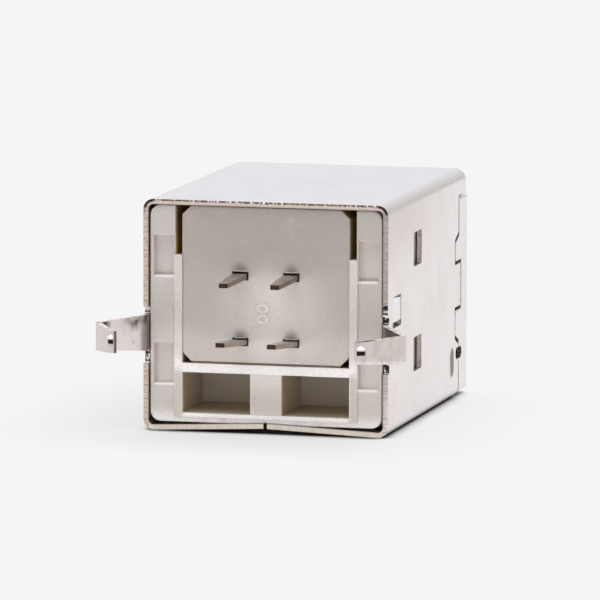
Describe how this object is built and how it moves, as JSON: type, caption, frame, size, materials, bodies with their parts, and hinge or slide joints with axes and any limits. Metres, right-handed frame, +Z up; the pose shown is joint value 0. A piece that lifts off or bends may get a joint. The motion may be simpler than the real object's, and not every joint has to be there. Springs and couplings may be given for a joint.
{
  "type": "usb-b socket",
  "caption": "Straight board-mount USB type B receptacle: folded sheet shield with kinked board legs around a moulded housing, a tongue insert and solder pins.",
  "frame": {"origin": "where the plug's axis meets the board plane, which is the plane of the shield's rear rim", "axes": "+Y out of the plug opening, +Z up from the seam side it lies on to the plain top panel, +X to the right as seen from the board side"},
  "size_m": [0.0152, 0.0228, 0.0111],
  "materials": {
    "plated_sheet": "satin nickel plating",
    "housing_plastic": "fine matte moulding",
    "insert_plastic": "fine matte moulding",
    "contact_metal": "dull tin plating"
  },
  "bodies": {
    "root": {"shield": "plated_sheet", "housing": "housing_plastic", "insert": "insert_plastic", "contact_vbus": "contact_metal", "contact_data_minus": "contact_metal", "contact_data_plus": "contact_metal", "contact_ground": "contact_metal"}
  },
  "joints": []
}
